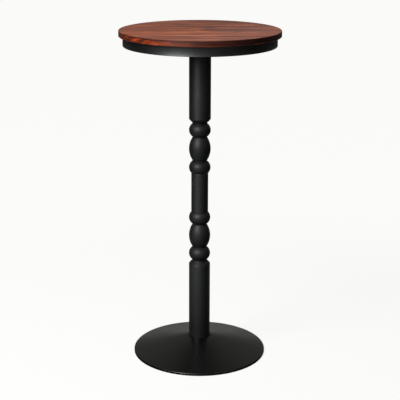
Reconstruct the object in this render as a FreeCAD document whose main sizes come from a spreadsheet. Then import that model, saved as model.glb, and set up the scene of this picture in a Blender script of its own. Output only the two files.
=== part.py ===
"""Pub table: a round timber top and a steel skirt on a turned column, with a weighted cone base.

Millimetres. +Z is up, and the origin is on the floor, on the column's axis.
"""
import FreeCAD, Part
import math
import os

import Sketcher

# Driving dimensions, grouped by the piece that they shape
SIZES = {
    # whole table
    "table_height": 1067,
    # timber top: edge-glued boards cut to one round panel
    "top_diameter": 506,
    "top_thickness": 18,
    "board_count": 7,
    "top_edge_ease": 1.2,
    # skirt hoop, set in from the top's edge
    "skirt_overhang": 12.5,
    "skirt_height": 30,
    "skirt_thickness": 3,
    "skirt_edge_ease": 0.8,
    # bent tabs welded inside the hoop
    "tab_count": 6,
    "tab_width": 24,
    "tab_reach": 22,
    "tab_drop": 18,
    "tab_thickness": 2.5,
    "tab_bend": 3.5,
    "tab_hole_inset": 8,
    # cast spider under the top
    "arm_count": 4,
    "arm_angle": 45,
    "arm_end_gap": 30,
    "arm_root_width": 44,
    "arm_tip_width": 28,
    "arm_tip_round": 11,
    "arm_thickness": 6,
    "arm_hole_inset": 13,
    "arm_hole_spacing": 24,
    "rib_width": 8,
    "rib_depth": 9,
    "rib_end_gap": 12,
    "flange_width": 17,
    "flange_thickness": 8,
    "boss_floor": 11,
    # wood screws
    "screw_diameter": 4.5,
    "screw_head_diameter": 9,
    "screw_head_height": 3,
    "screw_head_ease": 1.5,
    "screw_bite": 12,
    "screw_tip": 5,
    # column tubes
    "column_diameter": 69,
    "tube_wall": 2,
    "lower_tube_length": 250,
    "middle_tube_length": 131,
    "spigot_length": 25,
    # turnings: depths are cut in from the column's own diameter
    "slim_depth": 7.25,
    "neck_depth": 11.25,
    "neck_width": 2,
    "bead_height": 42.5,
    "vase_height": 75.5,
    "collar_height": 12,
    "collar_land": 3,
    "collar_round": 4,
    "casting_wall": 4.25,
    # tie rod, nuts and washers
    "rod_diameter": 12,
    "rod_chamfer": 1,
    "rod_spare": 5,
    "rod_end_gap": 4.5,
    "nut_width": 18,
    "nut_height": 10,
    "nut_chamfer": 1,
    "washer_diameter": 24,
    "washer_thickness": 2.5,
    "socket_gap": 6,
    # base cover
    "base_diameter": 434,
    "base_height": 52,
    "rim_height": 8.3,
    "rim_round": 3,
    "rim_floor_gap": 1,
    "cover_thickness": 2,
    "cover_land": 3.5,
    # base weight
    "weight_thickness": 7.5,
    "weight_gap": 0.8,
    "weight_edge_chamfer": 1.5,
    "hub_foot_diameter": 140,
    "hub_inset": 1.5,
    # levelling glides
    "glide_count": 4,
    "glide_angle": 45,
    "glide_inset": 21,
    "pad_diameter": 32,
    "pad_height": 5,
    "pad_edge_ease": 1,
    "pad_sole": 1.4,
    "stud_diameter": 8,
    "stud_chamfer": 1,
    "stud_head_diameter": 16,
    "stud_head_height": 2.4,
    # clearances: a fitted pair, a screw's or rod's hole, a glide's thread, and a glide below its stop
    "fit_gap": 0.1,
    "hole_gap": 0.5,
    "thread_gap": 0.3,
    "stop_gap": 0.3,
}

# How far a block that cuts the boards apart runs past the round panel
BLOCK_SPARE = 2

FULL_TURN = 360

# Radii and heights that several pieces share, as expressions of the sheet's cells
TOP_R = "(dims.top_diameter / 2)"
UNDER_TOP = "(dims.table_height - dims.top_thickness)"
SKIRT_R = f"({TOP_R} - dims.skirt_overhang)"
SKIRT_INNER_R = f"({SKIRT_R} - dims.skirt_thickness)"
TAB_R = f"({SKIRT_INNER_R} - dims.fit_gap)"
TAB_HOLE_R = f"({TAB_R} - dims.tab_reach + dims.tab_hole_inset)"
ARM_REACH = f"({SKIRT_INNER_R} - dims.arm_end_gap)"
ARM_HOLE_OUTER = f"({ARM_REACH} - dims.arm_hole_inset)"
ARM_HOLE_INNER = f"({ARM_HOLE_OUTER} - dims.arm_hole_spacing)"
SCREW_R = "(dims.screw_diameter / 2)"
SCREW_HOLE_R = f"({SCREW_R} + dims.hole_gap)"

COLUMN_R = "(dims.column_diameter / 2)"
COLUMN_BORE_R = f"({COLUMN_R} - dims.tube_wall)"
COLUMN_SPIGOT_R = f"({COLUMN_BORE_R} - dims.fit_gap)"
SLIM_R = f"({COLUMN_R} - dims.slim_depth)"
SLIM_BORE_R = f"({SLIM_R} - dims.tube_wall)"
SLIM_SPIGOT_R = f"({SLIM_BORE_R} - dims.fit_gap)"
NECK_R = f"({COLUMN_R} - dims.neck_depth)"
CASTING_BORE_R = f"({NECK_R} - dims.casting_wall)"

# A bulge between two necks is an arc that reaches the column's radius halfway up
BEAD_ARC = "((dims.bead_height ^ 2 / 4 + dims.neck_depth ^ 2) / (2 * dims.neck_depth))"
VASE_ARC = "((dims.vase_height ^ 2 / 4 + dims.neck_depth ^ 2) / (2 * dims.neck_depth))"
# The bead beside the slim tube has the same arc, cut off where it meets the tube
BEAD_TO_SLIM = f"sqrt({BEAD_ARC} ^ 2 - ({BEAD_ARC} - dims.slim_depth) ^ 2)"

# Heights up a turning from its slim end, where it meets the middle tube
BEAD_1_TOP = f"({BEAD_TO_SLIM} + dims.bead_height / 2)"
VASE_FOOT = f"({BEAD_1_TOP} + dims.neck_width)"
VASE_TOP = f"({VASE_FOOT} + dims.vase_height)"
BEAD_2_FOOT = f"({VASE_TOP} + dims.neck_width)"
BEAD_2_TOP = f"({BEAD_2_FOOT} + dims.bead_height)"
COLLAR_FOOT = f"({BEAD_2_TOP} + dims.neck_width)"
COLLAR_TOP = f"({COLLAR_FOOT} + dims.collar_height)"
TURNING_LENGTH = f"({COLLAR_TOP} + dims.collar_land)"

# Heights up the column's stack
LOWER_TUBE_TOP = "(dims.base_height + dims.lower_tube_length)"
MIDDLE_TUBE_FOOT = f"({LOWER_TUBE_TOP} + {TURNING_LENGTH})"
MIDDLE_TUBE_TOP = f"({MIDDLE_TUBE_FOOT} + dims.middle_tube_length)"
UPPER_TUBE_FOOT = f"({MIDDLE_TUBE_TOP} + {TURNING_LENGTH})"
UPPER_TUBE_TOP = f"({UNDER_TOP} - dims.flange_thickness)"

# Tie rod and the sockets that its nuts sit in
ROD_R = "(dims.rod_diameter / 2)"
ROD_HOLE_R = f"({ROD_R} + dims.hole_gap)"
SOCKET_R = "(dims.washer_diameter / 2 + dims.socket_gap)"
NUT_STACK = "(dims.washer_thickness + dims.nut_height + dims.rod_spare)"
SOCKET_DEPTH = f"({NUT_STACK} + dims.rod_end_gap)"
UPPER_SEAT = f"({UNDER_TOP} - {SOCKET_DEPTH})"

# Base: the cover's cone, the line of its inside, and the weight that lies under it
BASE_R = "(dims.base_diameter / 2)"
LAND_R = f"({COLUMN_R} + dims.cover_land)"
CONE_SLOPE = f"((dims.base_height - dims.rim_height) / ({BASE_R} - {LAND_R}))"
COVER_DROP = f"(dims.cover_thickness * sqrt(1 + {CONE_SLOPE} ^ 2))"
COVER_INNER_R = f"({BASE_R} - dims.cover_thickness)"
RIM_INNER_TOP = f"(dims.rim_height + dims.cover_thickness * {CONE_SLOPE} - {COVER_DROP})"
UNDER_LAND = "(dims.base_height - dims.cover_thickness)"
UNDER_LAND_R = f"({BASE_R} - ({UNDER_LAND} - dims.rim_height + {COVER_DROP}) / {CONE_SLOPE})"
WEIGHT_FOOT = "(dims.pad_height + dims.stop_gap)"
WEIGHT_TOP = f"({WEIGHT_FOOT} + dims.weight_thickness)"
WEIGHT_R = (
    f"({BASE_R} - ({WEIGHT_TOP} + dims.weight_gap - dims.rim_height + {COVER_DROP}) / {CONE_SLOPE})"
)
LOWER_SEAT = f"({WEIGHT_FOOT} + {SOCKET_DEPTH})"
GLIDE_R = f"({WEIGHT_R} - dims.glide_inset)"
STUD_R = "(dims.stud_diameter / 2)"

doc = FreeCAD.newDocument("pub_table")
sheet = doc.addObject("Spreadsheet::Sheet", "dims")
for row, (alias, size) in enumerate(SIZES.items(), start=1):
    sheet.set(f"A{row}", alias)
    sheet.set(f"B{row}", str(size))
    sheet.setAlias(f"B{row}", alias)
doc.recompute()

sub_parts = []


def bind(sketch, constraint, expression):
    """Add a constraint whose size follows an expression of the sheet's cells."""
    index = sketch.addConstraint(constraint)
    sketch.setExpression(f"Constraints[{index}]", expression)


def place_point(sketch, geometry, end, x, y):
    """Hold one end of a piece of geometry at x, y; a place of 0 is held on the sketch's axis."""
    values = {"DistanceX": (x, -2), "DistanceY": (y, -1)}
    for kind, (expression, axis) in values.items():
        if expression == "0":
            sketch.addConstraint(Sketcher.Constraint("PointOnObject", geometry, end, axis))
        else:
            value = float(sketch.evalExpression(expression))
            bind(sketch, Sketcher.Constraint(kind, geometry, end, value), expression)


def add_arc(sketch, centre, start, end):
    """Add the short arc from start to end; gives its number and which of its ends come first and last."""
    to_start = start - centre
    to_end = end - centre
    start_angle = math.atan2(to_start.y, to_start.x)
    end_angle = math.atan2(to_end.y, to_end.x)
    circle = Part.Circle(centre, FreeCAD.Vector(0, 0, 1), to_start.Length)
    if to_start.cross(to_end).z > 0:
        return sketch.addGeometry(Part.ArcOfCircle(circle, start_angle, end_angle), False), 1, 2
    return sketch.addGeometry(Part.ArcOfCircle(circle, end_angle, start_angle), False), 2, 1


def corner(x, y, round_by=None, bulge=None):
    """A corner of an outline: its place, and a radius that rounds it or that bulges out to the next one."""
    return {"x": x, "y": y, "round_by": round_by, "bulge": bulge}


def unit(vector):
    return vector * (1 / vector.Length)


def rounding(before, here, after, radius):
    """Where a corner's rounding leaves the line before it and joins the line after it, and its centre."""
    back = unit(before - here)
    on = unit(after - here)
    half_angle = back.getAngle(on) / 2
    run = radius / math.tan(half_angle)
    centre = here + unit(back + on) * (radius / math.sin(half_angle))
    return here + back * run, here + on * run, centre


def draw_outline(sketch, corners):
    """Draw a closed outline, counter-clockwise, with every corner's place and radius bound to the sheet."""
    count = len(corners)
    points = []
    for item in corners:
        x = float(sketch.evalExpression(item["x"]))
        y = float(sketch.evalExpression(item["y"]))
        points.append(FreeCAD.Vector(x, y, 0))
    arrive = list(points)
    leave = list(points)
    centres = [None] * count
    for index, item in enumerate(corners):
        if item["round_by"]:
            radius = float(sketch.evalExpression(item["round_by"]))
            after = points[(index + 1) % count]
            found = rounding(points[index - 1], points[index], after, radius)
            arrive[index], leave[index], centres[index] = found

    chain = []
    sides = []
    roundings = {}
    for index, item in enumerate(corners):
        following = (index + 1) % count
        start = leave[index]
        end = arrive[following]
        if item["bulge"]:
            radius = float(sketch.evalExpression(item["bulge"]))
            along = unit(end - start)
            rise = math.sqrt(radius ** 2 - (end - start).Length ** 2 / 4)
            centre = (start + end) * 0.5 + FreeCAD.Vector(-along.y, along.x, 0) * rise
            side = add_arc(sketch, centre, start, end)
        else:
            side = (sketch.addGeometry(Part.LineSegment(start, end), False), 1, 2)
        sides.append(side)
        chain.append(side)
        if centres[following]:
            roundings[following] = add_arc(sketch, centres[following], end, leave[following])
            chain.append(roundings[following])

    rounded = {piece[0] for piece in roundings.values()}
    for piece, following in zip(chain, chain[1:] + chain[:1]):
        kind = "Tangent" if {piece[0], following[0]} & rounded else "Coincident"
        sketch.addConstraint(Sketcher.Constraint(kind, piece[0], piece[2], following[0], following[1]))

    for index, item in enumerate(corners):
        side, first_end, last_end = sides[index]
        if item["bulge"]:
            radius = sketch.Geometry[side].Radius
            bind(sketch, Sketcher.Constraint("Radius", side, radius), item["bulge"])
        if index in roundings:
            arc = roundings[index][0]
            point = sketch.addGeometry(Part.Point(points[index]), True)
            sketch.addConstraint(Sketcher.Constraint("PointOnObject", point, 1, sides[index - 1][0]))
            sketch.addConstraint(Sketcher.Constraint("PointOnObject", point, 1, side))
            place_point(sketch, point, 1, item["x"], item["y"])
            radius = sketch.Geometry[arc].Radius
            bind(sketch, Sketcher.Constraint("Radius", arc, radius), item["round_by"])
        else:
            place_point(sketch, side, first_end, item["x"], item["y"])


def draw_circle(sketch, x, y, radius):
    """Draw a circle whose centre and radius are bound to the sheet."""
    size = float(sketch.evalExpression(radius))
    centre = FreeCAD.Vector(float(sketch.evalExpression(x)), float(sketch.evalExpression(y)), 0)
    circle = sketch.addGeometry(Part.Circle(centre, FreeCAD.Vector(0, 0, 1), size), False)
    place_point(sketch, circle, 3, x, y)
    bind(sketch, Sketcher.Constraint("Radius", circle, size), radius)


def origin_feature(body, role):
    for feature in body.Origin.OriginFeatures:
        if feature.Role == role:
            return feature
    raise ValueError(role)


def new_body(label):
    """A body for one sub-part, listed for export under its label."""
    body = doc.addObject("PartDesign::Body", label)
    body.Label = label
    sub_parts.append(body)
    return body


def new_sketch(body, name, role, height="0"):
    """A sketch on one of the body's own origin planes, or that far above it."""
    sketch = body.newObject("Sketcher::SketchObject", name)
    sketch.AttachmentSupport = [(origin_feature(body, role), "")]
    sketch.MapMode = "FlatFace"
    if height != "0":
        sketch.setExpression("AttachmentOffset.Base.z", height)
    doc.recompute()
    return sketch


def revolve(body, name, corners, about=None, sweep=None):
    """Turn an outline of radius and height round the body's Z axis, or round an upright axis at x = about."""
    sketch = new_sketch(body, f"{name}_outline", "XZ_Plane")
    draw_outline(sketch, corners)
    axis = "V_Axis"
    if about:
        x = float(sketch.evalExpression(about))
        ends = [corners[0]["y"], corners[-1]["y"]]
        low, high = [FreeCAD.Vector(x, float(sketch.evalExpression(y)), 0) for y in ends]
        line = sketch.addGeometry(Part.LineSegment(low, high), True)
        place_point(sketch, line, 1, about, ends[0])
        place_point(sketch, line, 2, about, ends[1])
        axis = "Axis0"
    turn = body.newObject("PartDesign::Revolution", name)
    turn.Profile = sketch
    turn.ReferenceAxis = (sketch, [axis])
    turn.Angle = FULL_TURN
    if sweep:
        turn.Midplane = True
        turn.setExpression("Angle", sweep)
    doc.recompute()
    return turn


def pad(body, name, sketch, length, reverse=False, symmetric=False):
    """Raise a sketch along its normal, against it, or by half each way."""
    feature = body.newObject("PartDesign::Pad", name)
    feature.Profile = sketch
    feature.Reversed = reverse
    if symmetric:
        feature.SideType = "Symmetric"
    feature.setExpression("Length", length)
    doc.recompute()
    return feature


def pocket(body, name, sketch, depth, upward=False):
    """Cut a sketch into the body by a depth, downward unless told otherwise; it has to take material away."""
    before = body.Shape.Volume
    feature = body.newObject("PartDesign::Pocket", name)
    feature.Profile = sketch
    feature.Reversed = upward
    feature.setExpression("Length", depth)
    doc.recompute()
    if feature.Shape.Volume >= before:
        raise ValueError(f"{name} cuts nothing")
    return feature


def polar(body, name, features, count):
    """Repeat features evenly round the body's Z axis."""
    pattern = body.newObject("PartDesign::PolarPattern", name)
    pattern.Originals = features
    pattern.Axis = (origin_feature(body, "Z_Axis"), [""])
    pattern.Angle = FULL_TURN
    pattern.setExpression("Occurrences", count)
    body.Tip = pattern
    doc.recompute()


def ring_outline(inner, outer, low, high):
    """The section of a plain ring or tube."""
    return [
        corner(inner, low),
        corner(outer, low),
        corner(outer, high),
        corner(inner, high),
    ]


def make_top():
    """Round timber panel with eased edges and pilot holes, cut into its edge-glued boards."""
    blank = doc.addObject("PartDesign::Body", "top_blank")
    eased_r = f"{TOP_R} - dims.top_edge_ease"
    revolve(blank, "panel", [
        corner("0", UNDER_TOP),
        corner(eased_r, UNDER_TOP),
        corner(TOP_R, f"{UNDER_TOP} + dims.top_edge_ease"),
        corner(TOP_R, "dims.table_height - dims.top_edge_ease"),
        corner(eased_r, "dims.table_height"),
        corner("0", "dims.table_height"),
    ])
    pilot_r = f"({SCREW_R} + dims.fit_gap)"
    pilot_depth = "dims.screw_bite + dims.hole_gap"
    arm_sketch = new_sketch(blank, "arm_pilots_outline", "XY_Plane", UNDER_TOP)
    for radius in (ARM_HOLE_INNER, ARM_HOLE_OUTER):
        x = f"{radius} * cos(dims.arm_angle)"
        y = f"{radius} * sin(dims.arm_angle)"
        draw_circle(arm_sketch, x, y, pilot_r)
    arm_pilots = pocket(blank, "arm_pilots", arm_sketch, pilot_depth, upward=True)
    polar(blank, "arm_pilot_ring", [arm_pilots], "dims.arm_count")
    tab_sketch = new_sketch(blank, "tab_pilot_outline", "XY_Plane", UNDER_TOP)
    draw_circle(tab_sketch, TAB_HOLE_R, "0", pilot_r)
    tab_pilot = pocket(blank, "tab_pilot", tab_sketch, pilot_depth, upward=True)
    polar(blank, "tab_pilot_ring", [tab_pilot], "dims.tab_count")

    board_width = "dims.top_diameter / dims.board_count"
    count = SIZES["board_count"]
    for index in range(count):
        label = f"top_board_{index + 1}"
        before = BLOCK_SPARE if index == 0 else 0
        after = BLOCK_SPARE if index == count - 1 else 0
        block = doc.addObject("Part::Box", f"{label}_block")
        block.setExpression("Length", f"dims.top_diameter + 2 * {BLOCK_SPARE}")
        block.setExpression("Width", f"{board_width} + {before} + {after}")
        block.setExpression("Height", f"dims.top_thickness + 2 * {BLOCK_SPARE}")
        block.setExpression("Placement.Base.x", f"-{TOP_R} - {BLOCK_SPARE}")
        block.setExpression("Placement.Base.y", f"-{TOP_R} + {index} * {board_width} - {before}")
        block.setExpression("Placement.Base.z", f"{UNDER_TOP} - {BLOCK_SPARE}")
        board = doc.addObject("Part::Common", label)
        board.Label = label
        board.Base = blank
        board.Tool = block
        sub_parts.append(board)
    doc.recompute()


def make_skirt():
    """Flat bar rolled into a hoop, and the bent tabs that are welded inside it."""
    skirt_foot = f"({UNDER_TOP} - dims.skirt_height)"
    revolve(new_body("skirt_ring"), "hoop", [
        corner(SKIRT_INNER_R, f"{skirt_foot} + dims.skirt_edge_ease"),
        corner(f"{SKIRT_INNER_R} + dims.skirt_edge_ease", skirt_foot),
        corner(f"{SKIRT_R} - dims.skirt_edge_ease", skirt_foot),
        corner(SKIRT_R, f"{skirt_foot} + dims.skirt_edge_ease"),
        corner(SKIRT_R, UNDER_TOP),
        corner(SKIRT_INNER_R, UNDER_TOP),
    ])

    tabs = new_body("skirt_tabs")
    inner_bend = "dims.tab_bend - dims.tab_thickness"
    leg_inner_r = f"{TAB_R} - dims.tab_thickness"
    under_foot = f"{UNDER_TOP} - dims.tab_thickness"
    tab = revolve(tabs, "tab", [
        corner(f"{TAB_R} - dims.tab_reach", under_foot),
        corner(leg_inner_r, under_foot, inner_bend),
        corner(leg_inner_r, f"{UNDER_TOP} - dims.tab_drop"),
        corner(TAB_R, f"{UNDER_TOP} - dims.tab_drop"),
        corner(TAB_R, UNDER_TOP, "dims.tab_bend"),
        corner(f"{TAB_R} - dims.tab_reach", UNDER_TOP),
    ], sweep=f"dims.tab_width / {TAB_R} * 180 / pi")
    hole_sketch = new_sketch(tabs, "tab_hole_outline", "XY_Plane", UNDER_TOP)
    draw_circle(hole_sketch, TAB_HOLE_R, "0", SCREW_HOLE_R)
    hole = pocket(tabs, "tab_hole", hole_sketch, "dims.tab_thickness + dims.hole_gap")
    polar(tabs, "tab_ring", [tab, hole], "dims.tab_count")


def make_spider():
    """Cast spider: ribbed arms round a flange, with a boss that plugs the upper tube and holds the nut."""
    spider = new_body("top_spider")
    spider.setExpression("Placement.Rotation.Angle", "dims.arm_angle")
    flange_r = f"({COLUMN_R} + dims.flange_width)"
    boss_foot = f"({UPPER_SEAT} - dims.boss_floor)"
    hub = revolve(spider, "hub", [
        corner(ROD_HOLE_R, boss_foot),
        corner(COLUMN_SPIGOT_R, boss_foot),
        corner(COLUMN_SPIGOT_R, UPPER_TUBE_TOP),
        corner(flange_r, UPPER_TUBE_TOP),
        corner(flange_r, UNDER_TOP),
        corner(SOCKET_R, UNDER_TOP),
        corner(SOCKET_R, UPPER_SEAT),
        corner(ROD_HOLE_R, UPPER_SEAT),
    ])

    arm_root = f"({COLUMN_R} + dims.flange_width / 2)"
    arm_sketch = new_sketch(spider, "arm_outline", "XY_Plane", UNDER_TOP)
    draw_outline(arm_sketch, [
        corner(arm_root, "-dims.arm_root_width / 2"),
        corner(ARM_REACH, "-dims.arm_tip_width / 2", "dims.arm_tip_round"),
        corner(ARM_REACH, "dims.arm_tip_width / 2", "dims.arm_tip_round"),
        corner(arm_root, "dims.arm_root_width / 2"),
    ])
    arm = pad(spider, "arm", arm_sketch, "dims.arm_thickness", reverse=True)

    rib_top = f"{UNDER_TOP} - dims.arm_thickness / 2"
    rib_end = f"({ARM_HOLE_INNER} - dims.rib_end_gap)"
    rib_sketch = new_sketch(spider, "rib_outline", "XZ_Plane")
    draw_outline(rib_sketch, [
        corner(arm_root, rib_top),
        corner(f"{COLUMN_R} + dims.flange_width", f"{UNDER_TOP} - dims.arm_thickness - dims.rib_depth"),
        corner(rib_end, f"{UNDER_TOP} - dims.arm_thickness"),
        corner(rib_end, rib_top),
    ])
    rib = pad(spider, "rib", rib_sketch, "dims.rib_width", symmetric=True)

    hole_sketch = new_sketch(spider, "arm_hole_outline", "XY_Plane", UNDER_TOP)
    for radius in (ARM_HOLE_INNER, ARM_HOLE_OUTER):
        draw_circle(hole_sketch, radius, "0", SCREW_HOLE_R)
    holes = pocket(spider, "arm_holes", hole_sketch, "dims.arm_thickness + dims.hole_gap")
    polar(spider, "arm_ring", [arm, rib, holes], "dims.arm_count")


def screw_outline(x, plate):
    """Half section of a pan-head wood screw driven up through a plate of that thickness into the timber."""
    under_plate = f"{UNDER_TOP} - {plate}"
    under_head = f"({under_plate} - dims.screw_head_height)"
    point = f"{UNDER_TOP} + dims.screw_bite"
    head_r = "dims.screw_head_diameter / 2"
    return [
        corner(x, under_head),
        corner(f"{x} + {head_r} - dims.screw_head_ease", under_head),
        corner(f"{x} + {head_r}", f"{under_head} + dims.screw_head_ease"),
        corner(f"{x} + {head_r}", under_plate),
        corner(f"{x} + {SCREW_R}", under_plate),
        corner(f"{x} + {SCREW_R}", f"{point} - dims.screw_tip"),
        corner(x, point),
    ]


def make_screws():
    """Wood screws: two in each of the spider's arms, and one in each of the skirt's tabs."""
    arm_screws = new_body("spider_screws")
    arm_screws.setExpression("Placement.Rotation.Angle", "dims.arm_angle")
    pair = []
    for name, radius in (("inner_screw", ARM_HOLE_INNER), ("outer_screw", ARM_HOLE_OUTER)):
        pair.append(revolve(arm_screws, name, screw_outline(radius, "dims.arm_thickness"), about=radius))
    polar(arm_screws, "screw_ring", pair, "dims.arm_count")

    tab_screws = new_body("skirt_tab_screws")
    outline = screw_outline(TAB_HOLE_R, "dims.tab_thickness")
    screw = revolve(tab_screws, "screw", outline, about=TAB_HOLE_R)
    polar(tab_screws, "screw_ring", [screw], "dims.tab_count")


def make_turning(label, slim_end, upside_down):
    """Cast turning: a bead cut off at the slim tube, a vase, a bead and a collar, with a spigot each end."""
    turning = new_body(label)
    revolve(turning, "turning", [
        corner(CASTING_BORE_R, "-dims.spigot_length"),
        corner(SLIM_SPIGOT_R, "-dims.spigot_length"),
        corner(SLIM_SPIGOT_R, "0"),
        corner(SLIM_R, "0", bulge=BEAD_ARC),
        corner(NECK_R, BEAD_1_TOP),
        corner(NECK_R, VASE_FOOT, bulge=VASE_ARC),
        corner(NECK_R, VASE_TOP),
        corner(NECK_R, BEAD_2_FOOT, bulge=BEAD_ARC),
        corner(NECK_R, BEAD_2_TOP),
        corner(NECK_R, COLLAR_FOOT),
        corner(COLUMN_R, COLLAR_TOP, "dims.collar_round"),
        corner(COLUMN_R, TURNING_LENGTH),
        corner(COLUMN_SPIGOT_R, TURNING_LENGTH),
        corner(COLUMN_SPIGOT_R, f"{TURNING_LENGTH} + dims.spigot_length"),
        corner(CASTING_BORE_R, f"{TURNING_LENGTH} + dims.spigot_length"),
    ])
    if upside_down:
        turning.Placement.Rotation = FreeCAD.Rotation(FreeCAD.Vector(1, 0, 0), FULL_TURN / 2)
    turning.setExpression("Placement.Base.z", slim_end)


def make_column():
    """Three plain tubes with a turning between each two, the same casting used both ways up."""
    tubes = {
        "lower_tube": (COLUMN_BORE_R, COLUMN_R, "dims.base_height", LOWER_TUBE_TOP),
        "middle_tube": (SLIM_BORE_R, SLIM_R, MIDDLE_TUBE_FOOT, MIDDLE_TUBE_TOP),
        "upper_tube": (COLUMN_BORE_R, COLUMN_R, UPPER_TUBE_FOOT, UPPER_TUBE_TOP),
    }
    for label, section in tubes.items():
        revolve(new_body(label), "tube", ring_outline(*section))
    make_turning("lower_baluster", MIDDLE_TUBE_FOOT, upside_down=True)
    make_turning("upper_baluster", MIDDLE_TUBE_TOP, upside_down=False)


def make_nut(label, low):
    """Hexagon nut with chamfered corners."""
    nut = new_body(label)
    corner_r = "(dims.nut_width / sqrt(3))"
    face_r = f"{corner_r} - dims.nut_chamfer"
    chamfer_rise = "dims.nut_chamfer / sqrt(3)"
    high = f"({low} + dims.nut_height)"
    thread_r = f"({ROD_R} + dims.fit_gap)"
    revolve(nut, "blank", [
        corner(thread_r, low),
        corner(face_r, low),
        corner(corner_r, f"{low} + {chamfer_rise}"),
        corner(corner_r, f"{high} - {chamfer_rise}"),
        corner(face_r, high),
        corner(thread_r, high),
    ])
    flats = new_sketch(nut, "flats_outline", "XY_Plane", high)
    hexagon = []
    for step in range(6):
        angle = 60 * step + 15
        hexagon.append(corner(f"{corner_r} * cos({angle})", f"{corner_r} * sin({angle})"))
    draw_outline(flats, hexagon)
    draw_circle(flats, "0", "0", f"{corner_r} + dims.nut_chamfer")
    pocket(nut, "flats", flats, "dims.nut_height")


def make_tie_rod():
    """Rod down the column's axis, with a washer and a nut in the socket at each end."""
    rod_foot = f"({LOWER_SEAT} - {NUT_STACK})"
    rod_top = f"({UPPER_SEAT} + {NUT_STACK})"
    end_r = f"{ROD_R} - dims.rod_chamfer"
    revolve(new_body("tie_rod"), "rod", [
        corner("0", rod_foot),
        corner(end_r, rod_foot),
        corner(ROD_R, f"{rod_foot} + dims.rod_chamfer"),
        corner(ROD_R, f"{rod_top} - dims.rod_chamfer"),
        corner(end_r, rod_top),
        corner("0", rod_top),
    ])
    washer_r = "dims.washer_diameter / 2"
    lower_washer_foot = f"({LOWER_SEAT} - dims.washer_thickness)"
    upper_washer_top = f"({UPPER_SEAT} + dims.washer_thickness)"
    washers = {
        "bottom_washer": (ROD_HOLE_R, washer_r, lower_washer_foot, LOWER_SEAT),
        "top_washer": (ROD_HOLE_R, washer_r, UPPER_SEAT, upper_washer_top),
    }
    for label, section in washers.items():
        revolve(new_body(label), "washer", ring_outline(*section))
    make_nut("bottom_nut", f"({lower_washer_foot} - dims.nut_height)")
    make_nut("top_nut", upper_washer_top)


def make_base():
    """Spun cone cover with a turned-down rim, over a cast weight whose hub carries the column."""
    revolve(new_body("base_cover"), "cover", [
        corner(COVER_INNER_R, "dims.rim_floor_gap"),
        corner(BASE_R, "dims.rim_floor_gap"),
        corner(BASE_R, "dims.rim_height", "dims.rim_round"),
        corner(LAND_R, "dims.base_height"),
        corner(COLUMN_BORE_R, "dims.base_height"),
        corner(COLUMN_BORE_R, UNDER_LAND),
        corner(UNDER_LAND_R, UNDER_LAND),
        corner(COVER_INNER_R, RIM_INNER_TOP, "dims.rim_round - dims.cover_thickness"),
    ])

    weight = new_body("base_weight")
    spigot_top = "(dims.base_height + dims.spigot_length)"
    revolve(weight, "casting", [
        corner(SOCKET_R, WEIGHT_FOOT),
        corner(WEIGHT_R, WEIGHT_FOOT),
        corner(WEIGHT_R, f"{WEIGHT_TOP} - dims.weight_edge_chamfer"),
        corner(f"{WEIGHT_R} - dims.weight_edge_chamfer", WEIGHT_TOP),
        corner("dims.hub_foot_diameter / 2", WEIGHT_TOP),
        corner(f"{UNDER_LAND_R} - dims.hub_inset", UNDER_LAND),
        corner(COLUMN_SPIGOT_R, UNDER_LAND),
        corner(COLUMN_SPIGOT_R, spigot_top),
        corner(ROD_HOLE_R, spigot_top),
        corner(ROD_HOLE_R, LOWER_SEAT),
        corner(SOCKET_R, LOWER_SEAT),
    ])
    thread_sketch = new_sketch(weight, "glide_hole_outline", "XY_Plane", WEIGHT_TOP)
    x = f"{GLIDE_R} * cos(dims.glide_angle)"
    y = f"{GLIDE_R} * sin(dims.glide_angle)"
    draw_circle(thread_sketch, x, y, f"{STUD_R} + dims.thread_gap")
    hole = pocket(weight, "glide_hole", thread_sketch, "dims.weight_thickness")
    polar(weight, "glide_holes", [hole], "dims.glide_count")


def set_on_circle(body, index):
    """Move a glide's piece from the axis out to its place under the weight."""
    angle = f"dims.glide_angle + {index} * {FULL_TURN} / dims.glide_count"
    body.setExpression("Placement.Base.x", f"{GLIDE_R} * cos({angle})")
    body.setExpression("Placement.Base.y", f"{GLIDE_R} * sin({angle})")


def make_glides():
    """Levelling glides, screwed right in: a threaded stud whose flat head is moulded into a nylon pad."""
    pad_r = "dims.pad_diameter / 2"
    head_r = "dims.stud_head_diameter / 2"
    head_top = "(dims.pad_sole + dims.stud_head_height)"
    neck_r = f"{STUD_R} + dims.fit_gap"
    cavity_r = f"{head_r} + dims.fit_gap"
    for index in range(SIZES["glide_count"]):
        stud = new_body(f"glide_stud_{index + 1}")
        revolve(stud, "stud", [
            corner("0", "dims.pad_sole"),
            corner(head_r, "dims.pad_sole"),
            corner(head_r, head_top),
            corner(STUD_R, head_top),
            corner(STUD_R, f"{WEIGHT_TOP} - dims.stud_chamfer"),
            corner(f"{STUD_R} - dims.stud_chamfer", WEIGHT_TOP),
            corner("0", WEIGHT_TOP),
        ])
        set_on_circle(stud, index)

        foot = new_body(f"glide_pad_{index + 1}")
        revolve(foot, "pad", [
            corner("0", "0"),
            corner(f"{pad_r} - dims.pad_edge_ease", "0"),
            corner(pad_r, "dims.pad_edge_ease"),
            corner(pad_r, "dims.pad_height - dims.pad_edge_ease"),
            corner(f"{pad_r} - dims.pad_edge_ease", "dims.pad_height"),
            corner(neck_r, "dims.pad_height"),
            corner(neck_r, f"{head_top} + dims.fit_gap"),
            corner(cavity_r, f"{head_top} + dims.fit_gap"),
            corner(cavity_r, "dims.pad_sole"),
            corner("0", "dims.pad_sole"),
        ])
        set_on_circle(foot, index)


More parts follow.
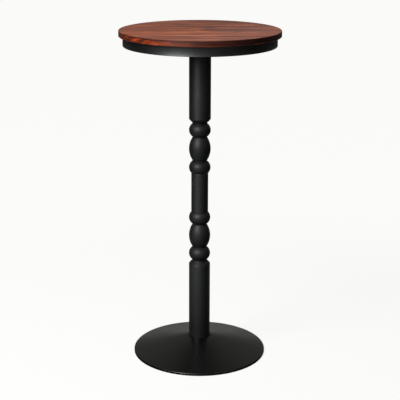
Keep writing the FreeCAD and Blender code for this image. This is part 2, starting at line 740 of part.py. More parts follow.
def write_parts():
    """Check every object and every sub-part's shape, then write one STEP file for each sub-part."""
    doc.recompute()
    for item in doc.Objects:
        if "Invalid" in item.State or "Error" in item.State:
            raise ValueError(f"{item.Label}: {item.State}")
    for item in sub_parts:
        if item.Shape.isNull() or not item.Shape.isValid() or not item.Shape.Solids:
            raise ValueError(f"{item.Label}: no valid solid")
    os.makedirs("parts", exist_ok=True)
    for item in sub_parts:
        item.Shape.exportStep(f"parts/{item.Label}.step")
        print(f"{item.Label}: {len(item.Shape.Solids)} solid(s), {item.Shape.Volume:.0f} mm3")


make_top()
make_skirt()
make_spider()
make_screws()
make_column()
make_tie_rod()
make_base()
make_glides()
write_parts()
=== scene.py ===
"""Pub table: materials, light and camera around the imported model. Metres, +Z up, floor at z = 0."""

import math

import bmesh
import bpy
from mathutils import Matrix, Vector


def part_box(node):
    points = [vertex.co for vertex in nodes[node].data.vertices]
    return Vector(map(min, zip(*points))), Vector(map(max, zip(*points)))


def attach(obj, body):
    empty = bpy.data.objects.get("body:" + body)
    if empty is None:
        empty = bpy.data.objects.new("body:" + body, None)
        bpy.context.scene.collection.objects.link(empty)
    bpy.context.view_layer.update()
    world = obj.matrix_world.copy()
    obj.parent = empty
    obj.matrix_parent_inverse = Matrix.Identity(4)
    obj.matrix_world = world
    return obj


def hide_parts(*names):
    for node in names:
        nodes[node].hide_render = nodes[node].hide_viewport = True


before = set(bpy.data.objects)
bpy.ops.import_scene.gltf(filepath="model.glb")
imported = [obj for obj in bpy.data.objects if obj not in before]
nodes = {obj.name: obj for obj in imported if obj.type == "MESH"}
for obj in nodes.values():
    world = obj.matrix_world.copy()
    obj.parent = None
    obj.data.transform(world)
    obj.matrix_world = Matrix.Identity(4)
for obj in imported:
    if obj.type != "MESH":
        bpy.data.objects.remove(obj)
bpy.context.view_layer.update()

GLIDES = range(1, 5)
BOARDS = [f"top_board_{number}" for number in range(1, 8)]
PADS = [f"glide_pad_{number}" for number in GLIDES]
SATIN = ["upper_tube", "middle_tube", "skirt_tabs"]
CASTINGS = ["top_spider", "base_weight"]
PLATED = ["top_nut", "top_washer", "bottom_nut", "bottom_washer"]


# Node helpers

MIX_FACTOR, MIX_FIRST, MIX_SECOND, MIX_RESULT = 0, 6, 7, 2  # a Mix node's sockets for colours


def add(tree, kind, inputs=None, **settings):
    """Add a node, set its properties, and set or link its inputs."""
    made = tree.nodes.new(kind)
    for name, value in settings.items():
        setattr(made, name, value)
    for name, value in (inputs or {}).items():
        if isinstance(value, bpy.types.NodeSocket):
            tree.links.new(value, made.inputs[name])
        else:
            made.inputs[name].default_value = value
    return made


def maths(tree, operation, first, second=0.0):
    return add(tree, "ShaderNodeMath", {0: first, 1: second}, operation=operation).outputs[0]


def product(tree, first, second):
    return maths(tree, "MULTIPLY", first, second)


def largest(tree, first, *others):
    for other in others:
        first = maths(tree, "MAXIMUM", first, other)
    return first


def vectors(tree, operation, first, second=(0.0, 0.0, 0.0)):
    """Vector maths; a length or a distance comes out as a number."""
    made = add(tree, "ShaderNodeVectorMath", {0: first, 1: second}, operation=operation)
    return made.outputs["Value" if operation in ("LENGTH", "DISTANCE") else "Vector"]


def parts_of(tree, vector):
    """The X, Y and Z of a vector."""
    return add(tree, "ShaderNodeSeparateXYZ", {0: vector}).outputs


def remap(tree, value, low, high, to_low=0.0, to_high=1.0):
    """The value's range from low to high, stretched smoothly over another range."""
    inputs = {"Value": value, "From Min": low, "From Max": high, "To Min": to_low, "To Max": to_high}
    return add(tree, "ShaderNodeMapRange", inputs, interpolation_type="SMOOTHSTEP").outputs[0]


def noise(tree, vector, scale, detail=3.0, roughness=0.5):
    inputs = {"Vector": vector, "Scale": scale, "Detail": detail, "Roughness": roughness}
    return add(tree, "ShaderNodeTexNoise", inputs).outputs["Fac"]


def stretched(tree, vector, scale, shift=(0.0, 0.0, 0.0)):
    """A vector scaled by axis and shifted, to draw a texture out along one direction."""
    inputs = {"Vector": vector, "Location": shift, "Scale": scale}
    return add(tree, "ShaderNodeMapping", inputs).outputs[0]


def grain(tree, vector, scale, detail=3.0, roughness=0.5, shift=(0.0, 0.0, 0.0)):
    """Noise with a scale of its own on each axis."""
    return noise(tree, stretched(tree, vector, scale, shift), 1.0, detail, roughness)


def ring_noise(tree, radius, scale):
    """Noise that changes with one distance only, for growth rings."""
    inputs = {"W": radius, "Scale": scale, "Detail": 3.0, "Roughness": 0.6}
    return add(tree, "ShaderNodeTexNoise", inputs, noise_dimensions="1D").outputs["Fac"]


def blend(tree, factor, first, second, mode="MIX"):
    """Two colours, mixed by a factor."""
    inputs = {MIX_FACTOR: factor, MIX_FIRST: first, MIX_SECOND: second}
    return add(tree, "ShaderNodeMix", inputs, data_type="RGBA", blend_type=mode).outputs[MIX_RESULT]


def tinted(tree, colour, tint):
    """A colour times a tint."""
    return blend(tree, 1.0, colour, tint, "MULTIPLY")


def ramp(tree, value, stops):
    """A colour by a value; each stop is a position and a colour."""
    made = add(tree, "ShaderNodeValToRGB", {"Fac": value})
    elements = made.color_ramp.elements
    while len(elements) < len(stops):
        elements.new(0.5)
    for element, (position, colour) in zip(elements, stops):
        element.position = position
        element.color = (*colour, 1.0)
    return made.outputs["Color"]


def bump(tree, height, strength, depth, over=None):
    """Relief of a height, laid over another normal if there is one."""
    inputs = {"Height": height, "Strength": strength, "Distance": depth}
    if over is not None:
        inputs["Normal"] = over
    return add(tree, "ShaderNodeBump", inputs).outputs["Normal"]


def new_material(name):
    """An empty material with a Principled shader; gives it, its tree, its shader and object coordinates."""
    material = bpy.data.materials.new(name)
    material.use_nodes = True
    tree = material.node_tree
    shader = tree.nodes["Principled BSDF"]
    place = tree.nodes.new("ShaderNodeTexCoord").outputs["Object"]
    return material, tree, shader, place


def surface(tree, shader, colour, roughness, normal):
    """Link a surface's colour, roughness and relief to its shader."""
    tree.links.new(colour, shader.inputs["Base Color"])
    tree.links.new(roughness, shader.inputs["Roughness"])
    tree.links.new(normal, shader.inputs["Normal"])


# Timber

FIGURE_COLOURS = [
    (0.14, (0.045, 0.008, 0.004)),
    (0.38, (0.150, 0.028, 0.009)),
    (0.60, (0.280, 0.060, 0.017)),
    (0.88, (0.520, 0.140, 0.042)),
]
CLOUD_BROWN = (0.13, 0.030, 0.012, 1.0)
PORE_BROWN = (0.035, 0.008, 0.004, 1.0)
# a painted sheen, added to the timber's colour
LACQUER_SHEEN_HAZE = (0.029, 0.030, 0.030, 1.0)
SHADE_TINT = (0.74, 0.72, 0.72, 1.0)
LIGHT_TINT = (1.20, 1.22, 1.24, 1.0)
GLUE_BROWN = (0.020, 0.005, 0.003, 1.0)
RIM_TINT = (0.70, 0.36, 0.16, 1.0)
# the brown of the rim's painted shade, also used at its darker left end
RIM_SHADE_BROWN = (0.030, 0.006, 0.004, 1.0)
LACQUER_GLOSS = 0.22
GLUE_EDGES = (0.0002, 0.0006)
# The spans over which the rim's stain and its painted shade come in: by radius, by height and along X
RIM_STAINED = (0.2516, 0.2526)
RIM_DARKENED = (0.2505, 0.2518)
UPPER_HALF = (1.0555, 1.0605)
LEFT_END = (-0.235, -0.210)
RIGHT_SHADE_FROM = (-0.06, -0.02)
RIGHT_SHADE_ABOVE = (1.0520, 1.0550)
RIM_LEAN = 0.02


def ring_radius(tree, place, here, heart):
    """Distance from a board's heart, which wanders along the board."""
    inputs = {"Vector": stretched(tree, here, (1.8, 6.0, 6.0)), "Scale": 1.0, "Detail": 2.0}
    wander = add(tree, "ShaderNodeTexNoise", inputs).outputs["Color"]
    drift = vectors(tree, "MULTIPLY", wander, (0.0, 0.06, 0.06))
    across = vectors(tree, "MULTIPLY", place, (0.0, 1.0, 1.0))
    from_heart = vectors(tree, "SUBTRACT", vectors(tree, "ADD", across, drift), (0.0, *heart))
    wobble = product(tree, grain(tree, here, (9.0, 60.0, 60.0)), 0.004)
    return maths(tree, "ADD", vectors(tree, "LENGTH", from_heart), wobble)


def stained_and_shaded_rim(tree, colour, place, here):
    """A deeper stain on the rim, with painted shade over its upper half and its right part, and darker at its
    left end.
    """
    spot = parts_of(tree, place)
    out = vectors(tree, "LENGTH", vectors(tree, "MULTIPLY", place, (1.0, 1.0, 0.0)))
    colour = blend(tree, remap(tree, out, *RIM_STAINED), colour, tinted(tree, colour, RIM_TINT))

    # the dark parts, painted shade apart from the left end, have mottled edges, and reach a little lower
    # towards the right
    mottle = grain(tree, here, (14.0, 30.0, 170.0), 3.0, 0.6)
    along = maths(tree, "ADD", spot["X"], remap(tree, mottle, 0.3, 0.7, -0.02, 0.02))
    level = maths(tree, "ADD", spot["Z"], remap(tree, mottle, 0.3, 0.7, -0.0025, 0.0025))
    leaning = maths(tree, "ADD", level, product(tree, spot["X"], RIM_LEAN))
    # painted shade: the rim's upper half, and its right part, which the light from the left leaves darker
    upper = remap(tree, leaning, *UPPER_HALF, 0.0, 0.85)
    left_end = remap(tree, along, *LEFT_END, 0.85, 0.0)
    right_shade = product(tree, remap(tree, along, *RIGHT_SHADE_FROM), remap(tree, leaning, *RIGHT_SHADE_ABOVE))
    dark = largest(tree, upper, left_end, product(tree, right_shade, 0.88))
    return blend(tree, product(tree, dark, remap(tree, out, *RIM_DARKENED)), colour, RIM_SHADE_BROWN)


def timber(name, tone, heart, shift, joints):
    """Reddish-brown lacquered timber with its grain along X.

    Its growth rings run round a heart at a Y and Z, and joints are the Y of the board's glued edges.
    """
    material, tree, shader, place = new_material(name)
    here = vectors(tree, "ADD", place, shift)
    spot = parts_of(tree, place)

    # the figure: broad and fine growth rings, with streaks and fibres along the grain
    radius = ring_radius(tree, place, here, heart)
    bands = remap(tree, ring_noise(tree, radius, 60.0), 0.40, 0.60)
    rings = remap(tree, ring_noise(tree, radius, 300.0), 0.40, 0.60)
    streaks = remap(tree, grain(tree, here, (3.5, 46.0, 46.0), 4.0, 0.6), 0.41, 0.59)
    fibres = grain(tree, here, (14.0, 700.0, 700.0), 3.0, 0.6)
    figure = product(tree, bands, 0.34)
    for layer, share in ((rings, 0.22), (streaks, 0.24), (fibres, 0.20)):
        figure = maths(tree, "ADD", figure, product(tree, layer, share))
    colour = ramp(tree, figure, FIGURE_COLOURS)

    # darker clouds and open pores, under the board's own tone
    clouds = remap(tree, grain(tree, here, (3.5, 16.0, 16.0), 2.0), 0.35, 0.65)
    colour = blend(tree, product(tree, clouds, 0.35), colour, CLOUD_BROWN)
    open_pores = remap(tree, grain(tree, here, (45.0, 950.0, 950.0), 1.0), 0.60, 0.72, 0.0, 0.55)
    colour = blend(tree, open_pores, colour, PORE_BROWN)
    colour = tinted(tree, colour, (*tone, 1.0))

    # a whitish haze, a painted sheen on the lacquer, is added to the colour, most at the front right
    to_front_right = maths(tree, "SUBTRACT", product(tree, spot["X"], 0.7), product(tree, spot["Y"], 0.5))
    colour = blend(tree, remap(tree, to_front_right, -0.06, 0.16, 0.37, 1.0), colour, LACQUER_SHEEN_HAZE, "ADD")

    # broad lighter and darker streaks, as the stain was wiped
    wiped = remap(tree, grain(tree, here, (3.5, 30.0, 30.0), 2.0, shift=(0.0, 3.0, 0.0)), 0.40, 0.60)
    colour = blend(tree, wiped, tinted(tree, colour, SHADE_TINT), tinted(tree, colour, LIGHT_TINT))

    # a hairline of glue and stain where the board meets its neighbours
    for joint in joints:
        off_joint = maths(tree, "ABSOLUTE", maths(tree, "SUBTRACT", spot["Y"], joint))
        colour = blend(tree, remap(tree, off_joint, *GLUE_EDGES, 0.6, 0.0), colour, GLUE_BROWN)

    colour = stained_and_shaded_rim(tree, colour, place, here)
    relief = maths(tree, "SUBTRACT", product(tree, fibres, 0.5), open_pores)
    surface(tree, shader, colour, remap(tree, fibres, 0.2, 0.8, 0.36, 0.50), bump(tree, relief, 0.25, 0.0002))
    shader.inputs["Specular IOR Level"].default_value = LACQUER_GLOSS
    return material


# Metal and plastic

COAT_DEEP = (0.0018, 0.0018, 0.0020)
COAT_WORN = (0.0032, 0.0032, 0.0034)
PATCH_SCALE = 14.0
PEEL_SCALE = 1100.0
GRAIN_SCALE = 3200.0
DISH_SLOPE = 0.15
EASED_EDGE = 0.0025
EASING_SAMPLES = 8


def black_coat(name, smooth, dull, gloss, pigment=1.0, eased=0.0, dish=None):
    """Satin black powder coat: a fine orange peel, and faint duller patches from handling.

    The roughness goes from smooth to dull over the patches. Gloss is the specular level, and pigment
    multiplies the colour. Eased is a radius that the coat rounds edges to. A dish is the middle and half
    width in Z of a bar that bent slightly hollow across itself as it was rolled.
    """
    material, tree, shader, place = new_material(name)
    patches = noise(tree, place, PATCH_SCALE, 4.0, 0.65)
    stops = [(0.30, COAT_DEEP), (0.70, COAT_WORN)]
    colour = ramp(tree, patches, [(position, [pigment * part for part in coat]) for position, coat in stops])
    normal = None
    if eased:
        normal = add(tree, "ShaderNodeBevel", {"Radius": eased}, samples=EASING_SAMPLES).outputs[0]
    if dish:
        middle, half_width = dish
        off_middle = maths(tree, "SUBTRACT", parts_of(tree, place)["Z"], middle)
        hollow = product(tree, maths(tree, "POWER", off_middle, 2.0), DISH_SLOPE / (2 * half_width))
        normal = bump(tree, hollow, 1.0, 1.0, normal)
    peel = noise(tree, place, PEEL_SCALE, 2.0)
    grains = noise(tree, place, GRAIN_SCALE, 1.0)
    relief = maths(tree, "ADD", peel, product(tree, grains, 0.3))
    surface(tree, shader, colour, remap(tree, patches, 0.25, 0.75, smooth, dull),
            bump(tree, relief, 0.12, 0.00012, normal))
    shader.inputs["Specular IOR Level"].default_value = gloss
    return material


def casting():
    """Sand-cast iron under thin black primer."""
    material, tree, shader, place = new_material("casting_finish")
    sand = noise(tree, place, 620.0, 4.0, 0.7)
    flow = noise(tree, place, 45.0, 3.0)
    colour = ramp(tree, flow, [
        (0.30, (0.012, 0.012, 0.013)),
        (0.72, (0.026, 0.025, 0.024)),
    ])
    relief = maths(tree, "ADD", sand, product(tree, flow, 0.6))
    surface(tree, shader, colour, remap(tree, sand, 0.3, 0.7, 0.55, 0.75), bump(tree, relief, 0.5, 0.0005))
    return material


def zinc():
    """Bright zinc plate with a faint passivated tint."""
    material, tree, shader, place = new_material("zinc_finish")
    clouds = noise(tree, place, 160.0, 3.0)
    colour = ramp(tree, clouds, [
        (0.35, (0.46, 0.46, 0.43)),
        (0.65, (0.62, 0.63, 0.64)),
    ])
    relief = noise(tree, place, 900.0, 2.0)
    surface(tree, shader, colour, remap(tree, clouds, 0.3, 0.7, 0.28, 0.42), bump(tree, relief, 0.1, 0.0003))
    shader.inputs["Metallic"].default_value = 1.0
    return material


def nylon():
    """Moulded black nylon with a fine matt skin."""
    material, tree, shader, place = new_material("nylon_finish")
    skin = noise(tree, place, 2400.0, 2.0)
    scuffs = noise(tree, place, 120.0, 4.0, 0.7)
    colour = ramp(tree, scuffs, [
        (0.40, (0.018, 0.018, 0.018)),
        (0.75, (0.040, 0.039, 0.038)),
    ])
    surface(tree, shader, colour, remap(tree, scuffs, 0.3, 0.7, 0.50, 0.65), bump(tree, skin, 0.2, 0.0001))
    return material


def dress(names, material):
    """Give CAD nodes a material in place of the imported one."""
    for name in names:
        mesh = nodes[name].data
        mesh.materials.clear()
        mesh.materials.append(material)


TOP_RADIUS = 0.253
JOINT_MARGIN = 0.001
# Each board: a tone that multiplies the stain, its heart's place in Y and Z, and a shift of its grain
BOARD_LOOKS = [
    ((0.91, 0.89, 0.92), (-0.26, 0.94), (2.36, 1.35, 0.00)),
    ((0.98, 1.01, 1.10), (-0.16, 0.92), (3.37, 1.48, 0.10)),
    ((1.29, 1.39, 1.47), (-0.05, 0.95), (4.62, 2.25, 0.20)),
    ((0.83, 0.80, 0.86), (0.02, 0.90), (5.96, 2.65, 0.30)),
    ((0.95, 0.92, 0.97), (0.08, 0.93), (5.13, 1.70, 0.40)),
    ((0.72, 0.73, 0.78), (0.17, 0.91), (9.34, 3.99, 0.50)),
    ((0.82, 0.80, 0.80), (0.24, 0.94), (11.93, 5.20, 0.60)),
]
for board, (tone, heart, shift) in zip(BOARDS, BOARD_LOOKS):
    low_corner, high_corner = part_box(board)
    joints = [edge for edge in (low_corner[1], high_corner[1]) if abs(edge) < TOP_RADIUS - JOINT_MARGIN]
    dress([board], timber(f"{board}_timber", tone, heart, shift, joints))

tube_coat = black_coat("tube_coat", smooth=0.43, dull=0.50, gloss=0.43, eased=EASED_EDGE)
dress(SATIN, tube_coat)
dress(["upper_baluster"], black_coat("upper_turning_coat", smooth=0.50, dull=0.57, gloss=0.265))
# the lower half of the column is rubbed by knees and shoes, and shines a little more
dress(["lower_baluster"], black_coat("lower_turning_coat", smooth=0.50, dull=0.57, gloss=0.31))
dress(["lower_tube"], black_coat("lower_tube_coat", smooth=0.41, dull=0.48, gloss=0.51, eased=EASED_EDGE))
dress(["base_cover"], black_coat("base_coat", smooth=0.27, dull=0.33, gloss=0.40, pigment=0.3))
low_corner, high_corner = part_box("skirt_ring")
skirt_dish = ((low_corner[2] + high_corner[2]) / 2, (high_corner[2] - low_corner[2]) / 2)
dress(["skirt_ring"], black_coat("skirt_coat", smooth=0.33, dull=0.39, gloss=0.55, dish=skirt_dish))
zinc_finish = zinc()
dress(PLATED, zinc_finish)
dress(CASTINGS, casting())
dress(PADS, nylon())


# Fasteners, threads and welds, in millimetres until they are made

TO_METRES = 0.001
TO_MILLIMETRES = 1000
UNDER_TOP = 1049.0
AXIS = (0.0, 0.0)
QUARTERS = (0, 90, 180, 270)
CROSS_STEPS = (-45, -28, -14, 0, 14, 28)
CROSS_ANGLES = [math.radians(quarter + step) for quarter in QUARTERS for step in CROSS_STEPS]
ROUND_STEPS = 28
ROUND_ANGLES = [2 * math.pi * step / ROUND_STEPS for step in range(ROUND_STEPS)]
SHARP_ANGLE = math.radians(40)

# Wood screws: their heads, recesses and shanks, and the plates that they go through
HEAD_HEIGHT = 3.0
HEAD_RADIUS = 4.5
HEAD_FLAT = 2.9
HEAD_ROUND = 1.6
HEAD_BENDS = (20, 45, 70, 90)
HEAD_CHAMFER_IN = 0.2
HEAD_CHAMFER_UP = 0.25
RECESS_FLOOR = (0.9, 0.3)
RECESS_WALL = (2.1, 0.5)
RECESS_MOUTH = (2.24, 0.6)
RECESS_DEPTH = 1.9
MOUTH_DEPTH = 0.12
SHANK_RADIUS = 2.25
SHANK_END = 7.0
SCREW_TIP = 12.0
ARM_THICKNESS = 6.0
ARM_SCREW_RADII = (170.5, 194.5)
ARM_SCREW_TURN = 0.7
FIRST_ARM = 45
TAB_THICKNESS = 2.5
TAB_SCREW_RADIUS = 223.4
TAB_SCREW_TURN = 1.1
TAB_ANGLES = range(0, 360, 60)

# Welds of the skirt's tabs
HOOP_RADIUS = 237.45
TAB_HALF_WIDTH = 12.0
WELD_DROP = 17.0
WELD_LENGTH = 11.0
WELD_ALONG_HOOP = 2.6
WELD_ALONG_TAB = 2.3
WELD_BENDS = (0, 22, 45, 68, 90)
WELD_SUNK = 0.1
WELD_STEPS = 36
WELD_RIPPLES = 9
RIPPLE_HEIGHT = 0.10
WELD_END_SIZE = 0.35
WELD_END_GROWTH = 5.0

# Threads, as root radius, crest radius and pitch
THREAD_STEPS = 6
ROD_THREAD = (5.0, 6.0, 1.75)
ROD_FOOT = 9.8
ROD_TOP = 1044.5
ROD_THREAD_LENGTH = 45.0
STUD_THREAD = (3.4, 4.0, 1.25)
STUD_HEAD_RADIUS = 8.0
STUD_HEAD_HEIGHT = 2.4


def ring(centre, radius, height, angles, turn=0.0):
    """A ring of points round a vertical axis; the radius is a number or a function of the angle."""
    points = []
    for angle in angles:
        reach = radius(angle) if callable(radius) else radius
        x = centre[0] + reach * math.cos(angle + turn)
        y = centre[1] + reach * math.sin(angle + turn)
        points.append((x, y, height))
    return points


def make_piece(name, skins, material, slot, body, *replaced):
    """One mesh piece from closed skins, each a list of rings; a ring of one point closes an end."""
    verts, faces = [], []
    for rings in skins:
        starts = []
        for points in rings:
            starts.append(len(verts))
            verts.extend(tuple(TO_METRES * value for value in point) for point in points)
        for first, second, low, high in zip(rings, rings[1:], starts, starts[1:]):
            count = max(len(first), len(second))
            for step in range(count):
                after = (step + 1) % count
                if len(first) == 1:
                    faces.append((low, high + after, high + step))
                elif len(second) == 1:
                    faces.append((low + step, low + after, high))
                else:
                    faces.append((low + step, low + after, high + after, high + step))
    mesh = bpy.data.meshes.new(name)
    mesh.from_pydata(verts, [], faces)
    shape = bmesh.new()
    shape.from_mesh(mesh)
    bmesh.ops.recalc_face_normals(shape, faces=shape.faces)
    shape.to_mesh(mesh)
    shape.free()
    mesh.shade_smooth()
    mesh.set_sharp_from_angle(angle=SHARP_ANGLE)
    mesh.materials.append(material)
    made = bpy.data.objects.new(name, mesh)
    bpy.context.scene.collection.objects.link(made)
    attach(made, body)
    if replaced:
        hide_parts(*replaced)


def cross(length, width):
    """Outline of a driver's cross, as a radius by angle; length and width are half sizes of its arms."""
    def reach(angle):
        off_arm = (angle + math.pi / 4) % (math.pi / 2) - math.pi / 4
        end = length / math.cos(off_arm)
        side = abs(math.sin(off_arm))
        return end if end * side <= width else width / side
    return reach


def screw(centre, plate, turn):
    """A pan-head wood screw, driven up through a plate into the timber, with a cross recess in its head."""
    face = UNDER_TOP - plate - HEAD_HEIGHT
    sections = [
        (cross(*RECESS_FLOOR), face + RECESS_DEPTH),
        (cross(*RECESS_WALL), face + MOUTH_DEPTH),
        (cross(*RECESS_MOUTH), face),
        (HEAD_FLAT, face),
    ]
    for degrees in HEAD_BENDS:
        bend = math.radians(degrees)
        sections.append((HEAD_FLAT + HEAD_ROUND * math.sin(bend), face + HEAD_ROUND * (1 - math.cos(bend))))
    sections += [
        (HEAD_RADIUS, face + HEAD_HEIGHT - HEAD_CHAMFER_UP),
        (HEAD_RADIUS - HEAD_CHAMFER_IN, face + HEAD_HEIGHT),
        (SHANK_RADIUS, face + HEAD_HEIGHT),
        (SHANK_RADIUS, UNDER_TOP + SHANK_END),
    ]
    skin = [ring(centre, radius, height, CROSS_ANGLES, turn) for radius, height in sections]
    return [[(*centre, face + RECESS_DEPTH)]] + skin + [[(*centre, UNDER_TOP + SCREW_TIP)]]


def thread(centre, profile, low, high):
    """Rings of a right-hand thread that runs out at both of its ends."""
    root, crest, pitch = profile
    steps = math.ceil((high - low) / pitch * THREAD_STEPS)
    rings = []
    for step in range(steps + 1):
        height = low + (high - low) * step / steps
        depth = (crest - root) * min(1.0, (height - low) / pitch, (high - height) / pitch)

        def reach(angle):
            phase = (height / pitch - angle / (2 * math.pi)) % 1
            return root + depth * abs(2 * phase - 1)
        rings.append(ring(centre, reach, height, ROUND_ANGLES))
    return rings


def weld(tab_angle, side):
    """A rippled fillet weld up one edge of a skirt tab, in the corner that it makes with the hoop."""
    corner = tab_angle + side * TAB_HALF_WIDTH / HOOP_RADIUS
    inward = Vector((-math.cos(corner), -math.sin(corner), 0.0))
    aside = Vector((-math.sin(corner), math.cos(corner), 0.0)) * side
    rings = []
    for step in range(WELD_STEPS + 1):
        along = step / WELD_STEPS
        ripple = 1.0 + RIPPLE_HEIGHT * abs(math.sin(math.pi * WELD_RIPPLES * along))
        near_end = min(along, 1.0 - along)
        size = ripple * min(1.0, WELD_END_SIZE + WELD_END_GROWTH * near_end)
        foot = -inward * HOOP_RADIUS + Vector((0.0, 0.0, UNDER_TOP - WELD_DROP + WELD_LENGTH * along))
        points = [foot - WELD_SUNK * inward - WELD_SUNK * aside]
        for degrees in WELD_BENDS:
            bend = math.radians(degrees)
            on_hoop = aside * (WELD_ALONG_HOOP * size * math.cos(bend))
            on_tab = inward * (WELD_ALONG_TAB * size * math.sin(bend))
            points.append(foot + on_hoop + on_tab)
        rings.append(points)
    first_end, last_end = (sum(rings[end], Vector((0.0, 0.0, 0.0))) / len(rings[end]) for end in (0, -1))
    return [[first_end]] + rings + [[last_end]]


def on_circle(radius, degrees):
    return (radius * math.cos(math.radians(degrees)), radius * math.sin(math.radians(degrees)))


arm_places = [on_circle(radius, FIRST_ARM + quarter) for quarter in QUARTERS for radius in ARM_SCREW_RADII]
arm_screws = [screw(centre, ARM_THICKNESS, ARM_SCREW_TURN * step) for step, centre in enumerate(arm_places)]
make_piece("arm_screw_set", arm_screws, zinc_finish, "zinc_steel", "table", "spider_screws")

tab_places = [on_circle(TAB_SCREW_RADIUS, degrees) for degrees in TAB_ANGLES]
tab_screws = [screw(centre, TAB_THICKNESS, TAB_SCREW_TURN * step) for step, centre in enumerate(tab_places)]
make_piece("tab_screw_set", tab_screws, zinc_finish, "zinc_steel", "table", "skirt_tab_screws")

welds = [weld(math.radians(degrees), side) for degrees in TAB_ANGLES for side in (-1, 1)]
make_piece("tab_welds", welds, tube_coat, "black_coat", "table")

rod = [[(*AXIS, ROD_FOOT)]]
rod += thread(AXIS, ROD_THREAD, ROD_FOOT, ROD_FOOT + ROD_THREAD_LENGTH)
rod += thread(AXIS, ROD_THREAD, ROD_TOP - ROD_THREAD_LENGTH, ROD_TOP)
rod += [[(*AXIS, ROD_TOP)]]
make_piece("threaded_rod", [rod], zinc_finish, "zinc_steel", "table", "tie_rod")

for number in GLIDES:
    low_corner, high_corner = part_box(f"glide_stud_{number}")
    centre = [TO_MILLIMETRES * (low_corner[axis] + high_corner[axis]) / 2 for axis in (0, 1)]
    foot = TO_MILLIMETRES * low_corner[2]
    end = TO_MILLIMETRES * high_corner[2]
    neck = foot + STUD_HEAD_HEIGHT
    stud = [[(*centre, foot)]]
    stud += [ring(centre, STUD_HEAD_RADIUS, height, ROUND_ANGLES) for height in (foot, neck)]
    stud += thread(centre, STUD_THREAD, neck, end)
    stud += [[(*centre, end)]]
    make_piece(f"threaded_stud_{number}", [stud], zinc_finish, "zinc_steel", f"glide_{number}",
               f"glide_stud_{number}")


# Floor and surroundings

FLOOR_SIZE = 60.0
FLOOR_LEVEL = -0.0003  # a hair below the pads, so that their faces and the paper don't coincide
POOL_CENTRE = (-0.55, -0.87, 0.0)
PAPER_WHITE = (0.98, 0.98, 0.962, 1.0)
COOL_WHITE = (0.95, 1.0, 0.98, 1.0)
WARM_WHITE = (1.0, 1.0, 0.93, 1.0)
PAPER_SHADED = (0.90, 0.90, 0.89, 1.0)
PAPER_UNSEEN = (0.35, 0.35, 0.35, 1.0)
PAPER_ROUGHNESS = 0.9
PAPER_GLOSS = 0.1
ROOM_LIGHT = 0.05


def rays(tree):
    """Two factors: 1 for what the camera sees itself, and 1 for what it sees in gloss or through glass."""
    path = tree.nodes.new("ShaderNodeLightPath")
    shown = largest(tree, path.outputs["Is Glossy Ray"], path.outputs["Is Transmission Ray"])
    return path.outputs["Is Camera Ray"], shown


def floor_in_gloss(tree, place, away):
    """The paper's painted glow in gloss: a pool of light to the table's front left, fainter behind it and far
    off, and cut back near the base as a painted shadow.
    """
    spot = parts_of(tree, place)
    off_axis = maths(tree, "ABSOLUTE", spot["X"])
    near_axis = remap(tree, off_axis, 0.5, 1.6, 1.0, 0.0)
    behind = product(tree, near_axis, remap(tree, spot["Y"], -0.2, 0.6, 0.0, 0.28))
    from_pool = vectors(tree, "DISTANCE", place, POOL_CENTRE)
    # near the base the glow is cut back, a painted shadow of the table
    off_base = remap(tree, away, 0.28, 0.80, 0.05, 1.0)
    pool = product(tree, remap(tree, from_pool, 0.2, 1.5, 1.15, 0.04), off_base)
    to_front = maths(tree, "DIVIDE", product(tree, spot["Y"], -1.0), away)
    to_left = maths(tree, "DIVIDE", product(tree, spot["X"], -1.0), away)
    in_front = remap(tree, to_front, 0.25, 0.9, 0.0, 0.28)
    on_left = remap(tree, to_left, 0.55, 0.95, 0.0, 0.08)
    distant = product(tree, remap(tree, away, 0.9, 2.0), remap(tree, away, 2.5, 6.0, 1.0, 0.4))
    return largest(tree, behind, pool, product(tree, distant, largest(tree, in_front, on_left)))


def make_floor():
    """A plain pale floor that reads as white, and still takes the table's shadow."""
    mesh = bpy.data.meshes.new("floor")
    half = FLOOR_SIZE / 2
    corners = [(-half, -half), (half, -half), (half, half), (-half, half)]
    mesh.from_pydata([(x, y, FLOOR_LEVEL) for x, y in corners], [], [(0, 1, 2, 3)])
    floor = bpy.data.objects.new("floor", mesh)
    bpy.context.scene.collection.objects.link(floor)
    material, tree, shader, place = new_material("floor_paper")
    seen, shown = rays(tree)
    away = vectors(tree, "LENGTH", place)
    in_gloss = product(tree, shown, floor_in_gloss(tree, place, away))
    tint = blend(tree, seen, COOL_WHITE, PAPER_WHITE)
    glow = add(tree, "ShaderNodeEmission", {"Color": tint, "Strength": maths(tree, "ADD", seen, in_gloss)})

    # away from the table the backdrop's own light evens the paper out
    evened = product(tree, seen, remap(tree, away, 0.5, 2.0, 0.92, 0.975))
    tree.links.new(blend(tree, seen, PAPER_UNSEEN, PAPER_SHADED), shader.inputs["Base Color"])
    shader.inputs["Roughness"].default_value = PAPER_ROUGHNESS
    shader.inputs["Specular IOR Level"].default_value = PAPER_GLOSS
    share = largest(tree, evened, shown)
    mixed = add(tree, "ShaderNodeMixShader", {0: share, 1: shader.outputs[0], 2: glow.outputs[0]})

    # clear from below, so that the underside of the table can be looked at
    clear = tree.nodes.new("ShaderNodeBsdfTransparent")
    back = tree.nodes.new("ShaderNodeNewGeometry").outputs["Backfacing"]
    final = add(tree, "ShaderNodeMixShader", {0: back, 1: mixed.outputs[0], 2: clear.outputs[0]})
    tree.links.new(final.outputs[0], tree.nodes["Material Output"].inputs["Surface"])
    mesh.materials.append(material)


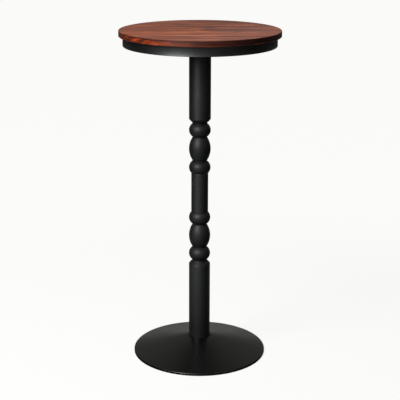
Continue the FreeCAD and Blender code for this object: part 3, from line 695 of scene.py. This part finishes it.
def make_world():
    """A white backdrop for the camera, and for gloss a dim room; little of it lights the object."""
    world = bpy.data.worlds.new("studio")
    world.use_nodes = True
    bpy.context.scene.world = world
    tree = world.node_tree
    seen, shown = rays(tree)
    ray = parts_of(tree, tree.nodes.new("ShaderNodeTexCoord").outputs["Generated"])

    # gloss shows a low glow behind the table, a ceiling dark over its middle, and a soft band in front
    low = remap(tree, ray["Z"], -0.05, 0.48, 1.0, 0.0)
    behind = product(tree, low, remap(tree, ray["Y"], 0.2, 0.85, 0.0, 0.52))
    off_middle = maths(tree, "ABSOLUTE", ray["X"])
    ceiling = product(tree, remap(tree, ray["Z"], 0.15, 0.60, 0.06, 0.31), remap(tree, off_middle, 0.0, 0.17))
    band = product(tree, remap(tree, ray["Z"], 0.0, 0.30), remap(tree, ray["Z"], 0.65, 0.90, 1.0, 0.0))
    front = product(tree, remap(tree, ray["Y"], -0.6, 0.0, 0.70, 0.0), band)
    in_gloss = product(tree, shown, largest(tree, behind, ceiling, front))
    unseen = product(tree, maths(tree, "SUBTRACT", 1.0, shown), ROOM_LIGHT)
    background = tree.nodes["Background"]
    tree.links.new(blend(tree, seen, WARM_WHITE, PAPER_WHITE), background.inputs["Color"])
    tree.links.new(largest(tree, seen, in_gloss, unseen), background.inputs["Strength"])


def area_light(name, size, power, azimuth, elevation, distance, target):
    """A soft box that faces the target from an azimuth (0 at the camera, positive to its right)."""
    data = bpy.data.lights.new(name, "AREA")
    data.shape = "RECTANGLE"
    data.size, data.size_y = size
    data.energy = power
    light = bpy.data.objects.new(name, data)
    bpy.context.scene.collection.objects.link(light)
    turn, rise = math.radians(azimuth), math.radians(elevation)
    away = Vector((math.sin(turn) * math.cos(rise), -math.cos(turn) * math.cos(rise), math.sin(rise)))
    light.location = Vector(target) + away * distance
    light.rotation_euler = (-away).to_track_quat("-Z", "Y").to_euler()
    return light


make_floor()
make_world()
# The key lights the object, and the card is only for its gloss
key = area_light("key_box", size=(1.4, 1.6), power=186.0, azimuth=-50.0, elevation=40.0, distance=3.2,
                 target=(0.0, 0.0, 0.8))
key.visible_glossy = False
card = area_light("card", size=(1.4, 1.2), power=155.0, azimuth=-32.5, elevation=26.0, distance=3.1,
                  target=(0.0, 0.0, 0.75))
card.visible_diffuse = False
card.data.color = COOL_WHITE[:3]


# Camera, fitted to the photo's outlines

CAMERA_PLACE = (0.0, -3.4247, 1.5115)
CAMERA_PITCH = 0.28202
CAMERA_ROLL = 0.003
CAMERA_YAW = -0.0003
CAMERA_LENS = 99.40
SENSOR_WIDTH = 36.0


def make_camera():
    data = bpy.data.cameras.new("camera")
    data.sensor_width = SENSOR_WIDTH
    data.lens = CAMERA_LENS
    camera = bpy.data.objects.new("camera", data)
    bpy.context.scene.collection.objects.link(camera)
    turn = Matrix.Rotation(CAMERA_YAW, 4, "Z")
    tilt = Matrix.Rotation(math.pi / 2 - CAMERA_PITCH, 4, "X")
    roll = Matrix.Rotation(CAMERA_ROLL, 4, "Z")
    camera.matrix_world = Matrix.Translation(CAMERA_PLACE) @ turn @ tilt @ roll
    bpy.context.scene.camera = camera


make_camera()
bpy.context.scene.view_settings.view_transform = "Standard"
